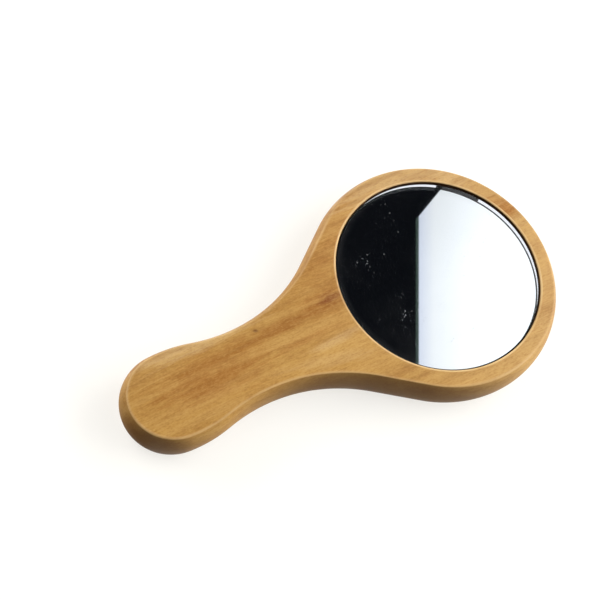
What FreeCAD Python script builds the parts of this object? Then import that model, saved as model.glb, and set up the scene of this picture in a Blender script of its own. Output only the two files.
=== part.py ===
import FreeCAD, Part
import math
import os

# Wooden hand mirror: one board cut to a paddle shape, with a plain glass disc glued into its head.
# Millimetres. The origin is on the flat back, under the centre of the round head.
# +Z points out of the mirror face and +Y runs from the handle to the crown of the head.

# Board outline, seen from the front, at its widest (half-way through the thickness)
HEAD_RADIUS = 43.0
SHOULDER_LENGTH = 16.5      # straight stretch between the head's arc and the neck's arc
NECK_RADIUS = 56.5          # hollow arc on each side of the neck
NECK_HALF_WIDTH = 13.1      # at the narrowest
GRIP_HALF_WIDTH = 16.2      # at the widest
GRIP_SIDE_RADIUS = 47.5     # full arc on each side of the handle
HANDLE_REACH = 116.5        # from the head's centre to the tip of the handle

# Board section
BOARD_THICKNESS = 13.0
SIDE_BULGE = 1.95           # how far the barrel-shaped sides stand out past the faces
ARRIS_RADIUS = 0.7          # eased corner between each side and a face

# Recess for the glass
RECESS_RADIUS = 35.5
RECESS_DEPTH = 4.3
RECESS_OFFSET = 0.65        # the recess sits this far from the head's centre, towards the crown
RECESS_ARRIS = 0.35         # eased lip round the mouth of the recess

# Glass and what is behind it, from the floor of the recess upwards
PAD_RADIUS = 30.0
PAD_THICKNESS = 1.0
PAINT_THICKNESS = 0.2
SILVER_THICKNESS = 0.1
GLASS_RADIUS = 35.2         # the glass was cut after it was coated, so both coats reach its edge
GLASS_THICKNESS = 2.0
SEAM_WIDTH = 0.3            # small ground corner round the front of the glass

UP = FreeCAD.Vector(0, 0, 1)
RECESS_CENTRE = FreeCAD.Vector(0, RECESS_OFFSET, 0)


def polar(centre, radius, angle):
    """Return the point at an angle, in radians from +X, on a circle in the XY plane."""
    return centre + FreeCAD.Vector(radius * math.cos(angle), radius * math.sin(angle), 0)


def bearing(start, end):
    """Return the angle of the line from start to end, in radians from +X."""
    return math.atan2(end.y - start.y, end.x - start.x)


def mirrored(point):
    """Return the point on the other side of the mirror's own centre plane, X = 0."""
    return FreeCAD.Vector(-point.x, point.y, point.z)


def neck_centre():
    """Return the centre of the right-hand hollow arc, which is tangent to a straight shoulder off the head."""
    across = NECK_HALF_WIDTH + NECK_RADIUS
    to_head = math.hypot(HEAD_RADIUS + NECK_RADIUS, SHOULDER_LENGTH)
    return FreeCAD.Vector(across, -math.sqrt(to_head ** 2 - across ** 2), 0)


def grip_side_centre(neck):
    """Return the centre of the right-hand full arc of the handle, which is tangent to the hollow arc."""
    across = GRIP_HALF_WIDTH - GRIP_SIDE_RADIUS
    down = math.sqrt((NECK_RADIUS + GRIP_SIDE_RADIUS) ** 2 - (neck.x - across) ** 2)
    return FreeCAD.Vector(across, neck.y - down, 0)


def grip_end(grip_side):
    """Return the centre and radius of the handle's round end, which both side arcs run into tangentially."""
    past = HANDLE_REACH + grip_side.y
    radius = (GRIP_SIDE_RADIUS ** 2 - grip_side.x ** 2 - past ** 2) / (2 * (GRIP_SIDE_RADIUS - past))
    return FreeCAD.Vector(0, radius - HANDLE_REACH, 0), radius


def outline():
    """Return the outline's stretches, clockwise seen from the front, each (start, end, centre, hollow).

    A straight stretch has no centre.
    """
    head = FreeCAD.Vector(0, 0, 0)
    neck = neck_centre()
    grip_side = grip_side_centre(neck)
    tip, tip_radius = grip_end(grip_side)
    lean = math.atan2(SHOULDER_LENGTH, HEAD_RADIUS + NECK_RADIUS)
    shoulder_normal = bearing(head, neck) + lean
    leave_head = polar(head, HEAD_RADIUS, shoulder_normal)
    enter_neck = polar(neck, NECK_RADIUS, shoulder_normal + math.pi)
    leave_neck = polar(neck, NECK_RADIUS, bearing(neck, grip_side))
    enter_tip = polar(tip, tip_radius, bearing(grip_side, tip))
    right = [
        (leave_head, enter_neck, None, False),
        (enter_neck, leave_neck, neck, True),
        (leave_neck, enter_tip, grip_side, False),
    ]
    left = [(mirrored(end), mirrored(start), centre and mirrored(centre), hollow)
            for start, end, centre, hollow in reversed(right)]
    crown = (mirrored(leave_head), leave_head, head, False)
    end_cap = (enter_tip, mirrored(enter_tip), tip, False)
    return [crown] + right + [end_cap] + left


def side_profile():
    """Return the board's side section as three arcs, each three (outward, height) points, from front to back.

    Outward is measured from the outline, so it is 0 half-way through the board and negative elsewhere.
    """
    middle = BOARD_THICKNESS / 2
    barrel_radius = (middle ** 2 + SIDE_BULGE ** 2) / (2 * SIDE_BULGE)
    arris_rise = middle - ARRIS_RADIUS
    arris_out = math.sqrt((barrel_radius - ARRIS_RADIUS) ** 2 - arris_rise ** 2) - barrel_radius
    end_angle = math.atan2(arris_rise, arris_out + barrel_radius)
    half_angle = (math.pi / 2 + end_angle) / 2

    def on_arris(angle, sign):
        return (arris_out + ARRIS_RADIUS * math.cos(angle),
                middle + sign * (arris_rise + ARRIS_RADIUS * math.sin(angle)))

    front_arris = [on_arris(angle, 1) for angle in (math.pi / 2, half_angle, end_angle)]
    back_arris = [on_arris(angle, -1) for angle in (end_angle, half_angle, math.pi / 2)]
    barrel = [front_arris[-1], (0, middle), back_arris[0]]
    return [front_arris, barrel, back_arris]


def profile_arc(points, station, outward):
    """Return one arc of the side section as an edge, standing at a point of the outline."""
    placed = [station + outward * out + UP * height for out, height in points]
    return Part.Arc(*placed).toShape()


def straight_side(arc, start, end):
    """Carry one arc of the side section along a straight stretch of the outline."""
    outward = UP.cross(end - start).normalize()
    return profile_arc(arc, start, outward).extrude(end - start)


def round_side(arc, start, end, centre, hollow):
    """Carry one arc of the side section round a centre: anticlockwise if hollow, else clockwise."""
    turn = bearing(centre, end) - bearing(centre, start)
    if hollow:
        outward = centre - start
        sweep = turn % (2 * math.pi)
    else:
        outward = start - centre
        sweep = turn % (2 * math.pi) - 2 * math.pi
    return profile_arc(arc, start, outward.normalize()).revolve(centre, UP, math.degrees(sweep))


def side_faces():
    """Return every face of the board's barrel-shaped side."""
    faces = []
    for arc in side_profile():
        for start, end, centre, hollow in outline():
            if centre is None:
                faces.append(straight_side(arc, start, end))
            else:
                faces.append(round_side(arc, start, end, centre, hollow))
    return faces


def cap_face(faces, height):
    """Return the flat face that closes the board at a height, bounded by the side faces' edges there."""
    rim = [edge for face in faces for edge in face.Edges
           if abs(edge.BoundBox.ZMin - height) < 1e-6 and abs(edge.BoundBox.ZMax - height) < 1e-6]
    return Part.Face(Part.Wire(Part.__sortEdges__(rim)))


def make_blank():
    """Return the board before the recess is cut."""
    faces = side_faces()
    caps = [cap_face(faces, 0.0), cap_face(faces, BOARD_THICKNESS)]
    shell = Part.Shell(faces + caps)
    shell.sewShape()
    return Part.Solid(shell)


def turned(points, centre):
    """Return the solid turned about an upright axis from a closed section of (radius, height) points."""
    section = Part.makePolygon([FreeCAD.Vector(radius, 0, height) for radius, height in points + points[:1]])
    solid = Part.Face(section).revolve(FreeCAD.Vector(0, 0, 0), UP, 360)
    solid.translate(centre)
    return solid


def disc(radius, floor, thickness):
    """Return a flat disc on the recess's axis, standing on a height."""
    return Part.makeCylinder(radius, thickness, RECESS_CENTRE + UP * floor)


def make_wooden_body():
    """Cut the blind recess, with its eased lip, into the board."""
    floor = BOARD_THICKNESS - RECESS_DEPTH
    board = make_blank().cut(disc(RECESS_RADIUS, floor, RECESS_DEPTH + 1.0))
    lip = [edge for edge in board.Edges
           if abs(edge.BoundBox.ZMin - BOARD_THICKNESS) < 1e-6
           and isinstance(edge.Curve, Part.Circle)
           and abs(edge.Curve.Radius - RECESS_RADIUS) < 1e-6]
    return board.makeFillet(RECESS_ARRIS, lip)


def make_mirror_glass(back):
    """Return the glass disc, with its front corner ground off."""
    front = back + GLASS_THICKNESS
    section = [
        (0, back),
        (GLASS_RADIUS, back),
        (GLASS_RADIUS, front - SEAM_WIDTH),
        (GLASS_RADIUS - SEAM_WIDTH, front),
        (0, front),
    ]
    return turned(section, RECESS_CENTRE)


def make_parts():
    """Return every piece by name, stacked from the floor of the recess."""
    pad_floor = BOARD_THICKNESS - RECESS_DEPTH
    paint_floor = pad_floor + PAD_THICKNESS
    silver_floor = paint_floor + PAINT_THICKNESS
    glass_floor = silver_floor + SILVER_THICKNESS
    return {
        "wooden_body": make_wooden_body(),
        "adhesive_pad": disc(PAD_RADIUS, pad_floor, PAD_THICKNESS),
        "backing_paint": disc(GLASS_RADIUS, paint_floor, PAINT_THICKNESS),
        "silver_layer": disc(GLASS_RADIUS, silver_floor, SILVER_THICKNESS),
        "mirror_glass": make_mirror_glass(glass_floor),
    }


os.makedirs("parts", exist_ok=True)
for name, shape in make_parts().items():
    solid = shape.Solids[0]
    if len(shape.Solids) != 1 or not solid.isValid() or solid.Volume <= 0:
        raise ValueError(name + " is not one sound solid")
    solid.exportStep("parts/" + name + ".step")
    print(name, "volume", round(solid.Volume, 1), "box", solid.BoundBox)
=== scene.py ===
import math

import bmesh
import bpy
from mathutils import Matrix, Quaternion, Vector


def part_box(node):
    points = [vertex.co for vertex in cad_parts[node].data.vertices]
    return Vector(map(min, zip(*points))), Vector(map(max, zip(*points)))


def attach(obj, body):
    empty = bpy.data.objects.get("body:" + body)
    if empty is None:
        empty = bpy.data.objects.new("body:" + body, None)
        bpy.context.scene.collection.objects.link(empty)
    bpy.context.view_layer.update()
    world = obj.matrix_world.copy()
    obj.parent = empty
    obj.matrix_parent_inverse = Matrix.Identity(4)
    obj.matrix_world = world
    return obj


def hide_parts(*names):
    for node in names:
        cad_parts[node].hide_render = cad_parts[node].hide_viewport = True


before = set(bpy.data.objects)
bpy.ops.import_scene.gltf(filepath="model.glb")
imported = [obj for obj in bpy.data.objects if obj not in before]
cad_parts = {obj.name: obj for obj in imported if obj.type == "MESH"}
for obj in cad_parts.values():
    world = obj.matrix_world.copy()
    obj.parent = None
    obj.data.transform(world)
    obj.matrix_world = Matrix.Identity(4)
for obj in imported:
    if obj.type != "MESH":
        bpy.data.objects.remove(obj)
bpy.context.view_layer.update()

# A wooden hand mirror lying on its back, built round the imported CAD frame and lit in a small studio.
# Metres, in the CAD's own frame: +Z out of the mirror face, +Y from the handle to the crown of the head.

MM = 0.001
UP = Vector((0, 0, 1))

# Board, as in the CAD
HEAD_RADIUS = 43.0 * MM
SHOULDER_LENGTH = 16.5 * MM
NECK_RADIUS = 56.5 * MM
NECK_HALF_WIDTH = 13.1 * MM
GRIP_HALF_WIDTH = 16.2 * MM
GRIP_SIDE_RADIUS = 47.5 * MM
HANDLE_REACH = 116.5 * MM
BOARD_THICKNESS = 13.0 * MM
SIDE_BULGE = 1.95 * MM
RECESS_RADIUS = 35.5 * MM
RECESS_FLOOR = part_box("adhesive_pad")[0].z
RECESS_CENTRE = Vector((0, 0.65 * MM, 0))

# Hand-sanded corners: the arris radius wanders between these two round the outline, by three waves,
# each (waves in a turn, height, phase)
ARRIS_LEAST = 0.55 * MM
ARRIS_MOST = 0.95 * MM
ARRIS_WAVES = [(3, 0.28, 0.8), (7, 0.16, 2.1), (17, 0.06, 0.0)]
LIP_RADIUS = 0.45 * MM

# Paleness on the arris (rubbed lacquer and painted highlight) and on the recess's lip (painted highlight),
# and its fade width
ARRIS_WEAR_AND_HIGHLIGHT = 0.55
LIP_HIGHLIGHT = 1.3
WEAR_AND_HIGHLIGHT_MARGIN = 0.40 * MM

# Glass, as in the CAD, but raised off the silvering by a hair so that their faces don't coincide
GLASS_RADIUS = 35.2 * MM
SEAM_WIDTH = 0.30 * MM
GLASS_INDEX = 1.52
HAZE_WIDTH = 2.6 * MM
GLASS_LIFT = 0.02 * MM

# Fineness of the meshes
OUTLINE_STEP = 0.8 * MM
BARREL_STEPS = 14
ARRIS_STEPS = 5
LIP_STEPS = 4
ROUND_STEPS = 240


# ---------------------------------------------------------------- board outline

def polar(centre, radius, angle):
    """Return the point at an angle, in radians from +X, on a circle in the XY plane."""
    return centre + Vector((radius * math.cos(angle), radius * math.sin(angle), 0))


def bearing(start, end):
    """Return the angle of the line from start to end, in radians from +X."""
    return math.atan2(end.y - start.y, end.x - start.x)


def mirrored(point):
    """Return the point on the other side of the centre plane, X = 0."""
    return Vector((-point.x, point.y, point.z))


def outline_stretches():
    """Return the outline's stretches, clockwise from above, each (start, end, centre, hollow).

    A straight stretch has no centre.
    """
    head = Vector((0, 0, 0))
    across = NECK_HALF_WIDTH + NECK_RADIUS
    to_head = math.hypot(HEAD_RADIUS + NECK_RADIUS, SHOULDER_LENGTH)
    neck = Vector((across, -math.sqrt(to_head ** 2 - across ** 2), 0))
    side_x = GRIP_HALF_WIDTH - GRIP_SIDE_RADIUS
    down = math.sqrt((NECK_RADIUS + GRIP_SIDE_RADIUS) ** 2 - (neck.x - side_x) ** 2)
    grip_side = Vector((side_x, neck.y - down, 0))
    past = HANDLE_REACH + grip_side.y
    tip_radius = (GRIP_SIDE_RADIUS ** 2 - side_x ** 2 - past ** 2) / (2 * (GRIP_SIDE_RADIUS - past))
    tip = Vector((0, tip_radius - HANDLE_REACH, 0))
    shoulder = bearing(head, neck) + math.atan2(SHOULDER_LENGTH, HEAD_RADIUS + NECK_RADIUS)
    leave_head = polar(head, HEAD_RADIUS, shoulder)
    enter_neck = polar(neck, NECK_RADIUS, shoulder + math.pi)
    leave_neck = polar(neck, NECK_RADIUS, bearing(neck, grip_side))
    enter_tip = polar(tip, tip_radius, bearing(grip_side, tip))
    right = [
        (leave_head, enter_neck, None, False),
        (enter_neck, leave_neck, neck, True),
        (leave_neck, enter_tip, grip_side, False),
    ]
    left = [(mirrored(end), mirrored(start), centre and mirrored(centre), hollow)
            for start, end, centre, hollow in reversed(right)]
    crown = (mirrored(leave_head), leave_head, head, False)
    end_cap = (enter_tip, mirrored(enter_tip), tip, False)
    return [crown] + right + [end_cap] + left


def straight_stations(start, end):
    """Return (point, outward) pairs along a straight stretch, without its last point."""
    outward = UP.cross(end - start).normalized()
    count = max(2, round((end - start).length / OUTLINE_STEP))
    return [(start.lerp(end, i / count), outward) for i in range(count)]


def round_stations(start, end, centre, hollow):
    """Return (point, outward) pairs along an arc, without its last point."""
    radius = (start - centre).length
    turn = (bearing(centre, end) - bearing(centre, start)) % (2 * math.pi)
    sweep = turn if hollow else turn - 2 * math.pi
    count = max(2, round(abs(sweep) * radius / OUTLINE_STEP))
    first = bearing(centre, start)
    stations = []
    for i in range(count):
        point = polar(centre, radius, first + sweep * i / count)
        away = (point - centre).normalized()
        stations.append((point, -away if hollow else away))
    return stations


def outline_stations():
    """Return (point, outward) pairs all round the board, clockwise from above."""
    stations = []
    for start, end, centre, hollow in outline_stretches():
        if centre is None:
            stations += straight_stations(start, end)
        else:
            stations += round_stations(start, end, centre, hollow)
    return stations


# ---------------------------------------------------------------- board section

def arris_at(share):
    """Return the hand-sanded arris radius at a share of the way round the outline."""
    turn = 2 * math.pi * share
    wander = 0.5
    for waves, height, phase in ARRIS_WAVES:
        wander += height * math.sin(waves * turn + phase)
    return ARRIS_LEAST + (ARRIS_MOST - ARRIS_LEAST) * wander


def side_section(arris):
    """Return (reach, height, wear_and_highlight) points up the board's side, from the back face's edge to the
    front's.
    """
    middle = BOARD_THICKNESS / 2
    barrel = (middle ** 2 + SIDE_BULGE ** 2) / (2 * SIDE_BULGE)
    rise = middle - arris
    out = math.sqrt((barrel - arris) ** 2 - rise ** 2) - barrel
    corner = math.atan2(rise, out + barrel)
    upper = []
    for i in range(BARREL_STEPS // 2 + 1):
        angle = corner * i / (BARREL_STEPS // 2)
        upper.append((barrel * (math.cos(angle) - 1), barrel * math.sin(angle), 0.0))
    for i in range(1, ARRIS_STEPS + 1):
        angle = corner + (math.pi / 2 - corner) * i / ARRIS_STEPS
        # the arris is painted paler: rubbed lacquer, and painted highlight
        wear_and_highlight = ARRIS_WEAR_AND_HIGHLIGHT * math.sin(math.pi * i / (ARRIS_STEPS + 1))
        upper.append((out + arris * math.cos(angle), rise + arris * math.sin(angle), wear_and_highlight))
    upper.append((out - WEAR_AND_HIGHLIGHT_MARGIN, middle, 0.0))
    lower = [(reach, -height, wear_and_highlight) for reach, height, wear_and_highlight in reversed(upper[1:])]
    return [(reach, middle + height, wear_and_highlight) for reach, height, wear_and_highlight in lower + upper]


def join_rings(bm, lower, upper):
    """Join two closed rings of vertices, clockwise from above, by smooth quads that face outwards."""
    faces = []
    for i in range(len(lower)):
        j = (i + 1) % len(lower)
        face = bm.faces.new((lower[i], upper[i], upper[j], lower[j]))
        face.smooth = True
        faces.append(face)
    return faces


def ring_edges(bm, ring):
    """Return the edges of a closed ring of vertices, made if they aren't there yet."""
    edges = []
    for i, vert in enumerate(ring):
        other = ring[(i + 1) % len(ring)]
        edges.append(bm.edges.get((vert, other)) or bm.edges.new((vert, other)))
    return edges


def circle_ring(bm, radius, height):
    """Return a ring of new vertices round the recess's middle, clockwise from above."""
    angles = [-2 * math.pi * i / ROUND_STEPS for i in range(ROUND_STEPS)]
    return [bm.verts.new(polar(RECESS_CENTRE, radius, angle) + UP * height) for angle in angles]


def finished(bm, name):
    """Turn a bmesh into an object of that name, in the scene."""
    mesh = bpy.data.meshes.new(name)
    bm.to_mesh(mesh)
    bm.free()
    piece = bpy.data.objects.new(name, mesh)
    bpy.context.scene.collection.objects.link(piece)
    return piece


def add_sides(bm, wear_and_highlight_layer):
    """Add the board's sides with their corners. Return their rings, from the back face to the front."""
    stations = outline_stations()
    columns = []
    for i, (point, outward) in enumerate(stations):
        column = []
        for reach, height, wear_and_highlight in side_section(arris_at(i / len(stations))):
            vert = bm.verts.new(point + outward * reach + UP * height)
            vert[wear_and_highlight_layer] = wear_and_highlight
            column.append(vert)
        columns.append(column)
    rings = [list(ring) for ring in zip(*columns)]
    for lower, upper in zip(rings, rings[1:]):
        join_rings(bm, lower, upper)
    return rings


def add_recess(bm, wear_and_highlight_layer, recess_shade_layer):
    """Add the recess, its softened lip with painted highlight and its wall with painted shade. Return its
    rings, from the face down.
    """
    rings = [circle_ring(bm, RECESS_RADIUS + LIP_RADIUS + WEAR_AND_HIGHLIGHT_MARGIN, BOARD_THICKNESS)]
    for i in range(LIP_STEPS + 1):
        angle = math.pi / 2 * i / LIP_STEPS
        radius = RECESS_RADIUS + LIP_RADIUS * (1 - math.sin(angle))
        height = BOARD_THICKNESS - LIP_RADIUS * (1 - math.cos(angle))
        ring = circle_ring(bm, radius, height)
        # painted highlight along the recess's lip
        for vert in ring:
            vert[wear_and_highlight_layer] = LIP_HIGHLIGHT * math.cos(angle)
        rings.append(ring)
    rings.append(circle_ring(bm, RECESS_RADIUS, RECESS_FLOOR))
    # painted shade: the recess's wall is marked to be darkened
    for ring in rings[-2:]:
        for vert in ring:
            vert[recess_shade_layer] = 1.0
    for lower, upper in zip(rings, rings[1:]):
        join_rings(bm, lower, upper)
    bm.faces.new(rings[-1])
    return rings


def make_board():
    """Build the board: barrel-shaped sides, hand-sanded corners, flat faces and the blind recess."""
    bm = bmesh.new()
    wear_and_highlight_layer = bm.verts.layers.float.new("wear_and_highlight")
    recess_shade_layer = bm.verts.layers.float.new("recess_shade")
    sides = add_sides(bm, wear_and_highlight_layer)
    bm.faces.new(sides[0])
    recess = add_recess(bm, wear_and_highlight_layer, recess_shade_layer)
    edges = ring_edges(bm, sides[-1]) + ring_edges(bm, recess[0])
    bmesh.ops.triangle_fill(bm, edges=edges, normal=UP)
    bmesh.ops.recalc_face_normals(bm, faces=bm.faces)
    return finished(bm, "wooden_board")


def make_glass():
    """Build the glass disc: flat faces, a plain cut edge and a small ground corner, its second material."""
    low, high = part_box("mirror_glass")
    bm = bmesh.new()
    bottom = circle_ring(bm, GLASS_RADIUS, low.z + GLASS_LIFT)
    shoulder = circle_ring(bm, GLASS_RADIUS, high.z - SEAM_WIDTH)
    top = circle_ring(bm, GLASS_RADIUS - SEAM_WIDTH, high.z)
    join_rings(bm, bottom, shoulder)
    for face in join_rings(bm, shoulder, top):
        face.material_index = 1
    for ring in (bottom, shoulder, top):
        for edge in ring_edges(bm, ring):
            edge.smooth = False
    bm.faces.new(bottom)
    bm.faces.new(top)
    bmesh.ops.recalc_face_normals(bm, faces=bm.faces)
    return finished(bm, "plain_glass")


# ---------------------------------------------------------------- materials

class Shader:
    """A new material with a Principled surface, and short ways to add nodes to it."""

    def __init__(self, name):
        self.material = bpy.data.materials.new(name)
        self.material.use_nodes = True
        self.tree = self.material.node_tree
        self.surface = self.tree.nodes["Principled BSDF"]

    def add(self, kind, **settings):
        """Add a node, with its properties."""
        node = self.tree.nodes.new("ShaderNode" + kind)
        for name, value in settings.items():
            setattr(node, name, value)
        return node

    def feed(self, socket, source):
        """Give a socket a link or a plain value."""
        if isinstance(source, bpy.types.NodeSocket):
            self.tree.links.new(source, socket)
        else:
            socket.default_value = source

    def set(self, **sockets):
        """Give the surface's own sockets their values or links, spaces written as underscores."""
        for name, source in sockets.items():
            self.feed(self.surface.inputs[name.replace("_", " ")], source)

    def place(self):
        """Return the object's own coordinates, in metres."""
        return self.add("TexCoord").outputs["Object"]

    def attribute(self, name):
        """Return one of the mesh's own values."""
        return self.add("Attribute", attribute_name=name).outputs["Fac"]

    def axis(self, vector, name):
        """Return one part of a vector, "X", "Y" or "Z"."""
        node = self.add("SeparateXYZ")
        self.feed(node.inputs[0], vector)
        return node.outputs[name]

    def from_point(self, vector, point):
        """Return coordinates measured from a point."""
        node = self.add("VectorMath", operation="SUBTRACT")
        self.feed(node.inputs[0], vector)
        node.inputs[1].default_value = point
        return node.outputs["Vector"]

    def length(self, vector):
        """Return a vector's length."""
        node = self.add("VectorMath", operation="LENGTH")
        self.feed(node.inputs[0], vector)
        return node.outputs["Value"]

    def stretched(self, vector, scale, turn=0.0, shift=(0, 0, 0)):
        """Return coordinates turned about Z and shifted, then scaled along each axis."""
        turned = self.add("Mapping", vector_type="POINT")
        self.feed(turned.inputs["Vector"], vector)
        turned.inputs["Location"].default_value = shift
        turned.inputs["Rotation"].default_value = (0, 0, turn)
        scaled = self.add("VectorMath", operation="MULTIPLY")
        self.feed(scaled.inputs[0], turned.outputs["Vector"])
        scaled.inputs[1].default_value = scale
        return scaled.outputs["Vector"]

    def noise(self, vector, detail=3.0, roughness=0.5):
        """Return a noise value, about 0.2 to 0.8, at one cell for each unit of the coordinates."""
        node = self.add("TexNoise")
        self.feed(node.inputs["Vector"], vector)
        node.inputs["Scale"].default_value = 1.0
        node.inputs["Detail"].default_value = detail
        node.inputs["Roughness"].default_value = roughness
        return node.outputs["Fac"]

    def cells(self, vector):
        """Return the distance to the nearest cell's middle, at one cell for each unit of the coordinates."""
        node = self.add("TexVoronoi", feature="F1")
        self.feed(node.inputs["Vector"], vector)
        node.inputs["Scale"].default_value = 1.0
        return node.outputs["Distance"]

    def remap(self, value, low, high, to_low=0.0, to_high=1.0, smooth=True):
        """Return the value mapped from one range to another, clamped."""
        node = self.add("MapRange", interpolation_type="SMOOTHSTEP" if smooth else "LINEAR")
        self.feed(node.inputs["Value"], value)
        node.inputs["From Min"].default_value = low
        node.inputs["From Max"].default_value = high
        node.inputs["To Min"].default_value = to_low
        node.inputs["To Max"].default_value = to_high
        return node.outputs["Result"]

    def maths(self, operation, first, second=0.0, clamp=False):
        """Return a sum, product or other operation on two values."""
        node = self.add("Math", operation=operation, use_clamp=clamp)
        self.feed(node.inputs[0], first)
        self.feed(node.inputs[1], second)
        return node.outputs["Value"]

    def mix(self, factor, first, second):
        """Return two colours mixed."""
        node = self.add("Mix", data_type="RGBA", blend_type="MIX")
        self.feed(node.inputs["Factor"], factor)
        self.feed(node.inputs["A"], first)
        self.feed(node.inputs["B"], second)
        return node.outputs["Result"]

    def bump(self, height, distance, strength=1.0, over=None):
        """Return a normal that stands the height up by a distance in metres."""
        node = self.add("Bump")
        node.inputs["Strength"].default_value = strength
        node.inputs["Distance"].default_value = distance
        self.feed(node.inputs["Height"], height)
        if over is not None:
            self.feed(node.inputs["Normal"], over)
        return node.outputs["Normal"]


# Colours of the lacquered wood: its broad zones from deep to light, what the grain darkens and lightens
# towards, the end grain, the corners where the lacquer is rubbed thin and lit as painted highlight, the
# recess's wall darkened as painted shade, and the walls facing the camera darkened as painted shade
WOOD_DEEP = (0.262, 0.108, 0.0170, 1)
WOOD_LIGHT = (0.330, 0.180, 0.0420, 1)
WOOD_DARK = (0.160, 0.058, 0.0100, 1)
WOOD_PALE = (0.440, 0.270, 0.0850, 1)
WOOD_END = (0.095, 0.045, 0.0160, 1)
WOOD_WORN_AND_LIT = (0.500, 0.340, 0.1600, 1)
WOOD_RECESS_SHADE = (0.022, 0.010, 0.0045, 1)
WOOD_SHADED_SIDE = (0.068, 0.028, 0.0060, 1)

# Which way the walls face that are darkened as painted shade, towards the camera's side, and how strongly
# that painted shade, the end grain and the recess wall's painted shade show
SHADED_SIDE_FACING = (0.67, -0.74, 0.0)
SHADED_SIDE_MOST = 0.78
END_MOST = 0.45
RECESS_SHADE_MOST = 0.95

# The span of the grain's slow bends, and the pith that its growth rings go round, below the board
GRAIN_BEND = 12.0 * MM
PITH_X = -12.0 * MM
PITH_Z = -52.0 * MM

# Coloured marks in the wood, where the two pale marks on the head's left rim are partly painted sheen:
# colour, strength, (X, Y) of the middle and (half length, half width), both in millimetres, and the lean from
# +Y in radians
RUST = (0.125, 0.024, 0.0035, 1)
AMBER = (0.225, 0.080, 0.0110, 1)
STRAW = (0.430, 0.290, 0.1300, 1)
KNOT = (0.080, 0.025, 0.0060, 1)
MARKS = [
    (AMBER, 0.62, (-0.5, -86.0), (23.0, 10.0), 0.02),
    (AMBER, 0.55, (-5.5, -59.0), (17.0, 2.6), -0.06),
    (AMBER, 0.45, (1.8, -52.0), (15.0, 1.8), -0.02),
    (STRAW, 0.55, (6.2, -44.0), (12.0, 2.0), -0.05),
    (STRAW, 0.80, (-12.4, -86.0), (26.0, 3.4), 0.00),
    (STRAW, 0.30, (11.2, -50.0), (20.0, 2.6), 0.22),
    (AMBER, 0.55, (-7.0, -41.0), (11.0, 4.8), 0.03),
    (RUST, 1.00, (-7.8, -38.0), (5.2, 2.6), 0.00),
    # partly paler wood and partly painted sheen on the head's left rim
    (STRAW, 0.80, (-38.0, 8.0), (34.0, 8.0), 0.00),
    (AMBER, 0.95, (-11.0, 37.5), (8.0, 4.0), 0.05),
    (AMBER, 0.55, (-15.5, 33.0), (6.0, 2.4), 0.05),
    # partly paler wood and partly painted sheen on the head's left rim
    (STRAW, 0.70, (-31.0, 25.0), (11.0, 7.0), 0.00),
    (KNOT, 0.95, (-8.0, -66.5), (1.1, 0.6), 0.30),
]

# The board turns paler from one place on the handle to another on the head, partly the wood, partly painted
# light
PALER_AND_LIT_FROM = -55.0 * MM
PALER_AND_LIT_TO = 35.0 * MM
PALER_AND_LIT_MOST = 0.42


def bent_grain(shader, place):
    """Return coordinates that follow the slow bends of the grain."""
    drift = shader.add("TexNoise")
    shader.feed(drift.inputs["Vector"], shader.stretched(place, (22, 7, 22)))
    drift.inputs["Scale"].default_value = 1.0
    drift.inputs["Detail"].default_value = 1.5
    bent = shader.add("VectorMath", operation="MULTIPLY_ADD")
    shader.feed(bent.inputs[0], shader.from_point(drift.outputs["Color"], (0.5, 0.5, 0.5)))
    bent.inputs[1].default_value = (GRAIN_BEND, 0.0, GRAIN_BEND)
    shader.feed(bent.inputs[2], place)
    return bent.outputs["Vector"]


def growth_rings(shader, grain):
    """Return the growth rings, as waves round the pith."""
    rings = shader.add("TexWave", wave_type="RINGS", rings_direction="Y", wave_profile="SIN")
    from_pith = shader.stretched(grain, (1, 1, 1), turn=0.03, shift=(-PITH_X, 0, -PITH_Z))
    shader.feed(rings.inputs["Vector"], from_pith)
    rings.inputs["Scale"].default_value = 22.0
    rings.inputs["Distortion"].default_value = 1.5
    rings.inputs["Detail"].default_value = 2.0
    rings.inputs["Detail Scale"].default_value = 3.0
    return rings.outputs["Fac"]


def mark_mask(shader, place, strength, middle, size, lean):
    """Return how strongly a coloured mark shows: a soft ellipse with a ragged edge, four widths deep."""
    x, y = middle
    length, width = size
    moved = shader.from_point(place, (x * MM, y * MM, BOARD_THICKNESS))
    scale = (1 / (width * MM), 1 / (length * MM), 1 / (4 * width * MM))
    reach = shader.length(shader.stretched(moved, scale, turn=lean))
    ragged = shader.noise(shader.stretched(place, (900, 90, 900)), detail=2.0)
    edge = shader.maths("ADD", reach, shader.maths("MULTIPLY", shader.maths("SUBTRACT", ragged, 0.5), 1.4))
    return shader.remap(edge, 1.2, 0.3, 0.0, strength)


def zone_colour(shader, place, grain):
    """Return the wood's colour before its finer grain: broad zones, growth rings and coloured marks."""
    broad = shader.noise(shader.stretched(place, (30, 11, 30), shift=(0.02, 0.01, 0)), detail=1.5)
    colour = shader.mix(shader.remap(broad, 0.32, 0.68), WOOD_DEEP, WOOD_LIGHT)
    colour = shader.mix(shader.remap(growth_rings(shader, grain), 0.2, 1.0, 0.0, 0.16), colour, WOOD_DARK)
    # paler towards the head: partly the wood, partly painted light
    paler_and_lit = shader.remap(shader.axis(place, "Y"), PALER_AND_LIT_FROM, PALER_AND_LIT_TO, 0.0, PALER_AND_LIT_MOST)
    colour = shader.mix(paler_and_lit, colour, STRAW)
    for stain, strength, middle, size, lean in MARKS:
        colour = shader.mix(mark_mask(shader, place, strength, middle, size, lean), colour, stain)
    return colour


def end_grain_at(shader):
    """Return how squarely the surface cuts across the fibres, which is most at the board's two ends."""
    along = shader.axis(shader.add("TexCoord").outputs["Normal"], "Y")
    return shader.remap(shader.maths("ABSOLUTE", along), 0.5, 1.0)


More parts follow.
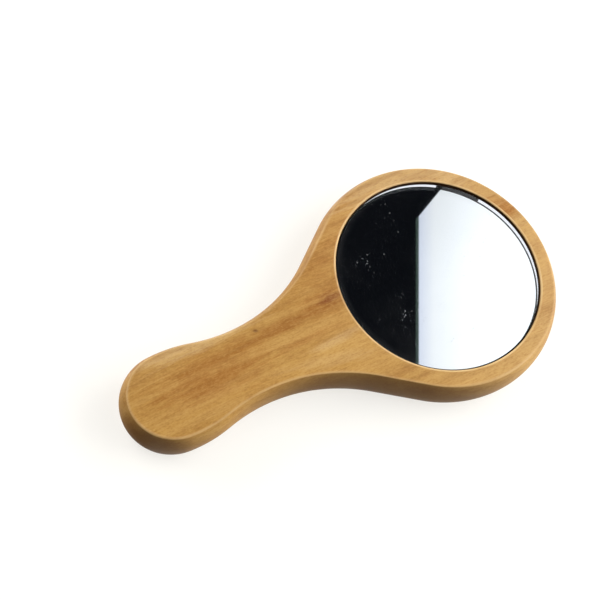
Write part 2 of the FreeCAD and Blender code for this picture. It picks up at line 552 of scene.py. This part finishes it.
def shaded_side_at(shader):
    """Return how strongly a wall facing the camera's side is darkened as painted shade."""
    lean = shader.add("VectorMath", operation="DOT_PRODUCT")
    shader.feed(lean.inputs[0], shader.add("TexCoord").outputs["Normal"])
    lean.inputs[1].default_value = SHADED_SIDE_FACING
    return shader.remap(lean.outputs["Value"], 0.45, 0.95)


def make_wood():
    """Satin-lacquered honey-coloured hardwood with its grain along Y, seen as one solid block of wood."""
    shader = Shader("lacquered_wood")
    place = shader.place()
    grain = bent_grain(shader, place)
    colour = zone_colour(shader, place, grain)

    # layers of the grain, coarse to fine: cells in a metre across, along and through the board
    bands = shader.noise(shader.stretched(grain, (130, 6, 130)), detail=2.0)
    streaks = shader.noise(shader.stretched(grain, (340, 12, 340)), detail=3.0, roughness=0.55)
    lines = shader.noise(shader.stretched(grain, (900, 45, 900)), detail=2.0, roughness=0.55)
    mottle = shader.noise(shader.stretched(place, (260, 170, 260), turn=0.2), detail=2.0)
    fibres = shader.noise(shader.stretched(grain, (2400, 400, 2400)), detail=2.0, roughness=0.6)
    flecks = shader.noise(shader.stretched(place, (2100, 1300, 2100)), detail=1.0)
    for layer, darken, lighten in (
        (bands, 0.26, 0.28),
        (streaks, 0.28, 0.28),
        (lines, 0.20, 0.15),
        (mottle, 0.14, 0.12),
        (fibres, 0.28, 0.22),
        (flecks, 0.15, 0.13),
    ):
        colour = shader.mix(shader.remap(layer, 0.50, 0.70, 0.0, darken), colour, WOOD_DARK)
        colour = shader.mix(shader.remap(layer, 0.50, 0.30, 0.0, lighten), colour, WOOD_PALE)

    # end grain drinks lacquer; painted shade on near walls and recess; worn corners with painted highlight
    end_grain = end_grain_at(shader)
    colour = shader.mix(shader.maths("MULTIPLY", end_grain, END_MOST), colour, WOOD_END)
    # painted shade: the walls facing the camera's side are darkened
    colour = shader.mix(shader.maths("MULTIPLY", shaded_side_at(shader), SHADED_SIDE_MOST), colour, WOOD_SHADED_SIDE)
    handling = shader.noise(shader.stretched(place, (55, 55, 55)), detail=2.0)
    handled = shader.remap(handling, 0.35, 0.65, 0.35, 0.85)
    # corners painted paler: rubbed lacquer, and painted highlight
    worn_and_lit = shader.maths("MULTIPLY", shader.attribute("wear_and_highlight"), handled, clamp=True)
    colour = shader.mix(worn_and_lit, colour, WOOD_WORN_AND_LIT)
    # painted shade: the recess's wall is darkened nearly to black
    recess_shade = shader.attribute("recess_shade")
    colour = shader.mix(shader.maths("MULTIPLY", recess_shade, RECESS_SHADE_MOST), colour, WOOD_RECESS_SHADE)

    # satin sheen, duller on end grain and the recess wall painted as shade; the fibres are just felt through
    # the lacquer
    rubbed = shader.noise(shader.stretched(place, (90, 40, 90)), detail=3.0)
    sheen = shader.remap(rubbed, 0.3, 0.7, 0.44, 0.56)
    dull = shader.maths("MAXIMUM", end_grain, recess_shade)
    shine = shader.remap(dull, 0.0, 1.0, 0.15, 0.03)
    fine = shader.bump(fibres, 0.02 * MM, strength=0.4)
    relief = shader.bump(lines, 0.05 * MM, strength=0.3, over=fine)
    shader.set(Base_Color=colour, Roughness=sheen, Specular_IOR_Level=shine, Normal=relief)
    shader.set(Coat_Weight=0.02, Coat_Roughness=0.32)
    return shader.material


# The other materials' colours, and the most dust on the glass: in specks, as a film and as haze at the rim
GLASS_CLEAR = (0.975, 0.990, 0.985, 1)
DUST_GREY = (0.620, 0.660, 0.720, 1)
GROUND_DARK = (0.015, 0.018, 0.018, 1)
GROUND_LIGHT = (0.040, 0.046, 0.045, 1)
SILVER_GREY = (0.930, 0.945, 0.955, 1)
SILVER_WHITE = (0.950, 0.960, 0.965, 1)
PAINT_DARK = (0.045, 0.050, 0.055, 1)
PAINT_LIGHT = (0.070, 0.075, 0.080, 1)
FOAM_WHITE = (0.840, 0.840, 0.820, 1)
FOAM_GREY = (0.720, 0.720, 0.700, 1)
SPECK_MOST = 0.30
FILM_MOST = 0.0018
HAZE_MOST = 0.009


def dust_specks(shader, place):
    """Return the specks of dust, scattered in loose patches."""
    speck = shader.remap(shader.cells(shader.stretched(place, (420, 420, 420))), 0.10, 0.04)
    patch = shader.remap(shader.noise(shader.stretched(place, (75, 75, 75)), detail=2.0), 0.50, 0.64)
    return shader.maths("MULTIPLY", shader.maths("MULTIPLY", speck, patch), SPECK_MOST)


def rim_haze(shader, place):
    """Return the uneven haze that cloths leave beside the glass's rim."""
    reach = shader.length(shader.from_point(place, (0, RECESS_CENTRE.y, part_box("mirror_glass")[1].z)))
    rim = shader.remap(reach, GLASS_RADIUS - HAZE_WIDTH, GLASS_RADIUS)
    wiped = shader.noise(shader.stretched(place, (130, 130, 130)), detail=3.0)
    uneven = shader.remap(wiped, 0.3, 0.7, 0.4, 1.0)
    return shader.maths("MULTIPLY", shader.maths("MULTIPLY", rim, uneven), HAZE_MOST)


def make_clear_glass():
    """Clear float glass with dust on it: scattered specks, a thin film and a faint haze at the rim."""
    shader = Shader("clear_glass")
    place = shader.place()
    specks = dust_specks(shader, place)
    smear = shader.noise(shader.stretched(place, (45, 30, 45)), detail=3.0, roughness=0.7)
    film = shader.remap(smear, 0.42, 0.75, 0.0, FILM_MOST)
    dust = shader.maths("ADD", specks, shader.maths("ADD", rim_haze(shader, place), film), clamp=True)
    clear = shader.maths("SUBTRACT", 1.0, dust)
    rough = shader.maths("MULTIPLY", specks, 0.9)
    colour = shader.mix(dust, GLASS_CLEAR, DUST_GREY)
    shader.set(Base_Color=colour, Roughness=rough, IOR=GLASS_INDEX, Transmission_Weight=clear)
    return shader.material


def make_ground_glass():
    """The small ground corner of the disc, dull and drawn nearly black."""
    shader = Shader("ground_glass_corner")
    frost = shader.noise(shader.stretched(shader.place(), (1800, 1800, 1800)), detail=2.0)
    shader.set(Base_Color=shader.mix(shader.remap(frost, 0.3, 0.7), GROUND_DARK, GROUND_LIGHT))
    shader.set(Roughness=shader.remap(frost, 0.3, 0.7, 0.55, 0.75), Specular_IOR_Level=0.2)
    return shader.material


def make_silvering():
    """Bright silver seen through the glass, very slightly uneven."""
    shader = Shader("silvering")
    cloud = shader.noise(shader.stretched(shader.place(), (60, 60, 60)), detail=2.0)
    shader.set(Base_Color=shader.mix(shader.remap(cloud, 0.3, 0.7), SILVER_GREY, SILVER_WHITE))
    shader.set(Metallic=1.0, Roughness=0.015)
    return shader.material


def make_paint():
    """Matt grey protective paint on the back of the silver, rolled on."""
    shader = Shader("backing_paint")
    roll = shader.noise(shader.stretched(shader.place(), (500, 160, 500)), detail=3.0)
    shader.set(Base_Color=shader.mix(shader.remap(roll, 0.3, 0.7), PAINT_DARK, PAINT_LIGHT))
    shader.set(Roughness=shader.remap(roll, 0.3, 0.7, 0.55, 0.75), Normal=shader.bump(roll, 0.03 * MM))
    return shader.material


def make_foam():
    """White closed-cell foam of the double-sided tape."""
    shader = Shader("foam_tape")
    cells = shader.cells(shader.stretched(shader.place(), (2200, 2200, 2200)))
    shader.set(Base_Color=shader.mix(cells, FOAM_WHITE, FOAM_GREY))
    shader.set(Roughness=0.85, Normal=shader.bump(cells, 0.05 * MM))
    return shader.material


def give(piece, *materials):
    """Put materials in a piece's slots, in order."""
    if piece.data.materials:
        piece.data.materials.clear()
    for material in materials:
        piece.data.materials.append(material)


# ---------------------------------------------------------------- studio

# Camera, looking down on the face from beyond the handle's right side
CAMERA_PLACE = Vector((117.5, -206.1, 383.0)) * MM
CAMERA_TARGET = Vector((-13.6, -45.1, 6.5)) * MM
CAMERA_ROLL = math.radians(22.93)
CAMERA_LENS = 78.4
SENSOR = 36.0


def camera_turn():
    """Return the camera's rotation: aimed at its target, then rolled."""
    aim = (CAMERA_TARGET - CAMERA_PLACE).to_track_quat("-Z", "Y")
    return aim @ Quaternion((0, 0, 1), CAMERA_ROLL)


def make_camera():
    """Place the camera at the photograph's angle."""
    data = bpy.data.cameras.new("camera")
    data.sensor_width = SENSOR
    data.lens = CAMERA_LENS
    data.clip_start = 0.01
    data.clip_end = 50
    camera = bpy.data.objects.new("camera", data)
    bpy.context.scene.collection.objects.link(camera)
    camera.rotation_mode = "QUATERNION"
    camera.rotation_quaternion = camera_turn()
    camera.location = CAMERA_PLACE
    bpy.context.scene.camera = camera


# Colours of the studio's things, and of what glows in it
TABLE_COLOUR = (0.270, 0.265, 0.245, 1)
FLAG_COLOUR = (0.003, 0.0035, 0.005, 1)
TAPE_COLOUR = (0.040, 0.060, 0.052, 1)
BLACK = (0, 0, 0, 1)
WARM_GLOW = (1.0, 0.985, 0.95, 1)
COOL_GLOW = (0.94, 0.93, 1.0, 1)
LAMP_COLOUR = (1.0, 0.99, 0.97)


def plain_material(name, colour, shine=0.0, glow=0.0, glow_colour=WARM_GLOW):
    """Return a plain material for a thing of the studio, with a glow of its own if it is lit from behind."""
    shader = Shader(name)
    shader.set(Base_Color=colour, Roughness=0.9, Specular_IOR_Level=shine)
    shader.set(Emission_Color=glow_colour, Emission_Strength=glow)
    return shader.material


# Light table under the mirror
FLOOR_HALF_WIDTH = 4.0
FLOOR_DROP = 0.1 * MM
FLOOR_GLOW = 0.70


def make_floor():
    """Lay a wide pale light table just under the board's flat back; its glow keeps the shadows faint."""
    bm = bmesh.new()
    bmesh.ops.create_grid(bm, x_segments=1, y_segments=1, size=FLOOR_HALF_WIDTH)
    floor = finished(bm, "studio_floor")
    floor.location.z = -FLOOR_DROP
    give(floor, plain_material("studio_floor", TABLE_COLOUR, shine=0.1, glow=FLOOR_GLOW))


# Pale cove round the far side of the mirror: a profile of (reach, height) points swept from one heading to
# another. The near side is left open, so that the board's near walls stay in shade.
COVE_START = math.radians(20)
COVE_END = math.radians(250)
COVE_PROFILE = [(3.00, 0.0), (3.30, 0.03), (3.52, 0.16), (3.62, 0.40), (3.65, 1.00)]
COVE_STEPS = 48
COVE_GLOW = 0.82


def make_cove():
    """Stand the cove up from the floor."""
    bm = bmesh.new()
    columns = []
    for i in range(COVE_STEPS + 1):
        heading = COVE_START + (COVE_END - COVE_START) * i / COVE_STEPS
        columns.append([bm.verts.new(polar(UP * height, reach, heading)) for reach, height in COVE_PROFILE])
    for column, following in zip(columns, columns[1:]):
        for k in range(len(COVE_PROFILE) - 1):
            face = bm.faces.new((column[k], column[k + 1], following[k + 1], following[k]))
            face.smooth = True
    cove = finished(bm, "studio_cove")
    give(cove, plain_material("studio_cove", TABLE_COLOUR, glow=COVE_GLOW))


# What the glass shows is laid out on a plane square to the line of sight that the glass sends back up.
# Across and along are metres on that plane from the line's middle, and nearer is metres off it to the glass.
SCREEN_DISTANCE = 1.5
SOFTBOX_EDGE = 0.134        # across, where the glass turns from black to white

# The flag's cut corner starts at the notch on the softbox's edge and rises to the flag's right side
FLAG_LEFT = -0.04
FLAG_RIGHT = 0.24
FLAG_BOTTOM = -0.15
FLAG_TOP = 0.22
FLAG_NOTCH = 0.094
FLAG_CUT = [(SOFTBOX_EDGE, FLAG_NOTCH), (0.165, 0.132), (FLAG_RIGHT, 0.17)]
FLAG_NEARER = 0.02

# Tape along the flag's upright edge
TAPE_LEFT = SOFTBOX_EDGE - 0.0028
TAPE_RIGHT = SOFTBOX_EDGE + 0.0004
TAPE_SLANT = 0.002
TAPE_NEARER = 0.021

# The softbox, its left side tucked behind the flag. It glows least along its edge, where it is also bluer;
# the near and the far glow are at those two reaches in from the edge. Upwards it dims a little.
SOFTBOX_LEFT = SOFTBOX_EDGE - 0.05
SOFTBOX_RIGHT = 1.15
SOFTBOX_BOTTOM = -0.55
SOFTBOX_TOP = 0.45
EDGE_GLOW = 1.02
NEAR_GLOW = 1.38
FAR_GLOW = 2.63
NEAR_REACH = 0.10
FAR_REACH = 0.45
EDGE_TINT = (0.70, 0.745, 0.90, 1)
INNER_TINT = (0.935, 0.955, 1.0, 1)
TINT_REACH = 0.02
DIM_REACH = 0.15
DIM_LEAST = 0.84


def silvering_seems_at():
    """Return the height at which the silvering seems to lie, seen through the glass."""
    low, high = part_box("mirror_glass")
    return high.z - (high.z - low.z) / GLASS_INDEX


def screen_frame():
    """Return the centre, across, along and facing directions of the plane that the glass shows."""
    flip = Matrix.Scale(-1, 3, UP)
    turn = camera_turn()
    across, along, back = (flip @ (turn @ Vector(axis)) for axis in ((1, 0, 0), (0, 1, 0), (0, 0, 1)))
    eye = flip @ CAMERA_PLACE + UP * 2 * silvering_seems_at()
    return eye - back * SCREEN_DISTANCE, across, along, back


def make_card(name, material, corners, nearer=0.0):
    """Hang a flat card on the plane that the glass shows, from its corners' (across, along)."""
    centre, across, along, back = screen_frame()
    bm = bmesh.new()
    bm.faces.new([bm.verts.new((x, y, 0)) for x, y in corners])
    card = finished(bm, name)
    turn = Matrix((across, along, back)).transposed().to_4x4()
    card.matrix_world = Matrix.Translation(centre + back * nearer) @ turn
    give(card, material)


def make_black_flag():
    """Hang the black card that darkens the left of the glass, with its cut corner."""
    bottom = [(FLAG_LEFT, FLAG_BOTTOM), (SOFTBOX_EDGE, FLAG_BOTTOM)]
    top = [(FLAG_RIGHT, FLAG_TOP), (FLAG_LEFT, FLAG_TOP)]
    make_card("black_flag", plain_material("black_flag", FLAG_COLOUR), bottom + FLAG_CUT + top, FLAG_NEARER)


def make_flag_tape():
    """Hang the grey-green tape along the flag's upright edge."""
    corners = [
        (TAPE_LEFT, FLAG_BOTTOM),
        (TAPE_RIGHT, FLAG_BOTTOM),
        (TAPE_RIGHT, FLAG_NOTCH),
        (TAPE_LEFT, FLAG_NOTCH - TAPE_SLANT),
    ]
    make_card("flag_tape", plain_material("flag_tape", TAPE_COLOUR), corners, TAPE_NEARER)


def softbox_material():
    """Return the softbox's white, dimmer and bluer along its edge."""
    shader = Shader("softbox")
    across = shader.axis(shader.place(), "X")
    along = shader.axis(shader.place(), "Y")
    inner = shader.remap(across, SOFTBOX_EDGE, SOFTBOX_EDGE + TINT_REACH, smooth=False)
    tint = shader.mix(inner, EDGE_TINT, INNER_TINT)
    near = shader.remap(across, SOFTBOX_EDGE, SOFTBOX_EDGE + NEAR_REACH, EDGE_GLOW, NEAR_GLOW)
    rise = FAR_GLOW - NEAR_GLOW
    far = shader.remap(across, SOFTBOX_EDGE + NEAR_REACH, SOFTBOX_EDGE + FAR_REACH, 0.0, rise)
    dim = shader.remap(along, 0.0, DIM_REACH, 1.0, DIM_LEAST)
    glow = shader.maths("MULTIPLY", shader.maths("ADD", near, far), dim)
    shader.set(Base_Color=BLACK, Specular_IOR_Level=0.0, Emission_Color=tint, Emission_Strength=glow)
    return shader.material


def make_softbox():
    """Hang the softbox that whitens the right of the glass."""
    corners = [
        (SOFTBOX_LEFT, SOFTBOX_BOTTOM),
        (SOFTBOX_RIGHT, SOFTBOX_BOTTOM),
        (SOFTBOX_RIGHT, SOFTBOX_TOP),
        (SOFTBOX_LEFT, SOFTBOX_TOP),
    ]
    make_card("softbox", softbox_material(), corners)


# Curved strips of softbox overhead, which the glass's cut edge shows as its bright rim. The gap between them,
# behind the camera's right shoulder, leaves the top of that rim dark. Each has a name, two headings from +X,
# in degrees, and a radiance.
STRIPS = [
    ("left_strip", 158, 304.5, 1.15),
    ("right_strip", -6.5, 104, 1.15),
]
STRIP_RADIUS = 1.20
STRIP_LOW = math.radians(49)
STRIP_HIGH = math.radians(65)
STRIP_STEPS = 24


def make_strip(name, start, end, radiance):
    """Hang a glowing strip at one height round the mirror, from one heading to another, in degrees."""
    bm = bmesh.new()
    columns = []
    for i in range(STRIP_STEPS + 1):
        heading = math.radians(start + (end - start) * i / STRIP_STEPS)
        column = []
        for lift in (STRIP_LOW, STRIP_HIGH):
            height = STRIP_RADIUS * math.sin(lift)
            column.append(bm.verts.new(polar(UP * height, STRIP_RADIUS * math.cos(lift), heading)))
        columns.append(column)
    for (low, high), (next_low, next_high) in zip(columns, columns[1:]):
        bm.faces.new((low, high, next_high, next_low))
    strip = finished(bm, name)
    give(strip, plain_material(name, BLACK, glow=radiance, glow_colour=COOL_GLOW))


# Soft panels that face a point low on the head: name, heading from +X and elevation in degrees, distance,
# size and radiance
PANELS = [
    ("key_panel", 70, 33, 0.60, (0.75, 0.38), 6.2),
    ("right_panel", 34, 30, 0.95, (0.70, 0.45), 3.4),
    ("left_panel", 208, 24, 0.78, (0.80, 0.40), 8.1),
]
PANEL_TARGET = Vector((0, -20, 0)) * MM


def add_panel(name, heading, elevation, distance, size, radiance):
    """Add a rectangular soft light that faces the mirror."""
    turn = math.radians(heading)
    lift = math.radians(elevation)
    toward = Vector((math.cos(lift) * math.cos(turn), math.cos(lift) * math.sin(turn), math.sin(lift)))
    width, depth = size
    data = bpy.data.lights.new(name, "AREA")
    data.shape = "RECTANGLE"
    data.size = width
    data.size_y = depth
    data.energy = radiance * math.pi * width * depth
    data.color = LAMP_COLOUR
    lamp = bpy.data.objects.new(name, data)
    lamp.location = PANEL_TARGET + toward * distance
    lamp.rotation_mode = "QUATERNION"
    lamp.rotation_quaternion = (-toward).to_track_quat("-Z", "Y")
    bpy.context.scene.collection.objects.link(lamp)


# The studio's own dim light: its strength low down and overhead, and the two elevations, as sines, that it
# fades between
AIR_LOW = 0.35
AIR_HIGH = 0.012
FADE_LOW = 0.15
FADE_HIGH = 0.80


def make_air():
    """Return a world that is pale round the horizon and dark overhead."""
    world = bpy.data.worlds.new("studio_air")
    world.use_nodes = True
    nodes = world.node_tree.nodes
    links = world.node_tree.links
    direction = nodes.new("ShaderNodeSeparateXYZ")
    links.new(nodes.new("ShaderNodeTexCoord").outputs["Generated"], direction.inputs[0])
    fade = nodes.new("ShaderNodeMapRange")
    links.new(direction.outputs["Z"], fade.inputs["Value"])
    fade.inputs["From Min"].default_value = FADE_LOW
    fade.inputs["From Max"].default_value = FADE_HIGH
    fade.inputs["To Min"].default_value = AIR_LOW
    fade.inputs["To Max"].default_value = AIR_HIGH
    nodes["Background"].inputs["Color"].default_value = (*LAMP_COLOUR, 1)
    links.new(fade.outputs["Result"], nodes["Background"].inputs["Strength"])
    return world


def make_lights():
    """Light the mirror with the panels, the overhead strips and the studio's dim air."""
    for panel in PANELS:
        add_panel(*panel)
    for strip in STRIPS:
        make_strip(*strip)
    bpy.context.scene.world = make_air()


# ---------------------------------------------------------------- assembly

def make_pieces():
    """Put the visual pieces in place of, or on, the CAD nodes."""
    board = make_board()
    give(board, make_wood())
    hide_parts("wooden_body")
    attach(board, "root")

    glass = make_glass()
    give(glass, make_clear_glass(), make_ground_glass())
    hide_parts("mirror_glass")
    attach(glass, "root")

    give(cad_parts["silver_layer"], make_silvering())
    give(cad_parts["backing_paint"], make_paint())
    give(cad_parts["adhesive_pad"], make_foam())


make_camera()
make_floor()
make_cove()
make_black_flag()
make_flag_tape()
make_softbox()
make_lights()
make_pieces()
bpy.context.scene.view_settings.view_transform = "Standard"
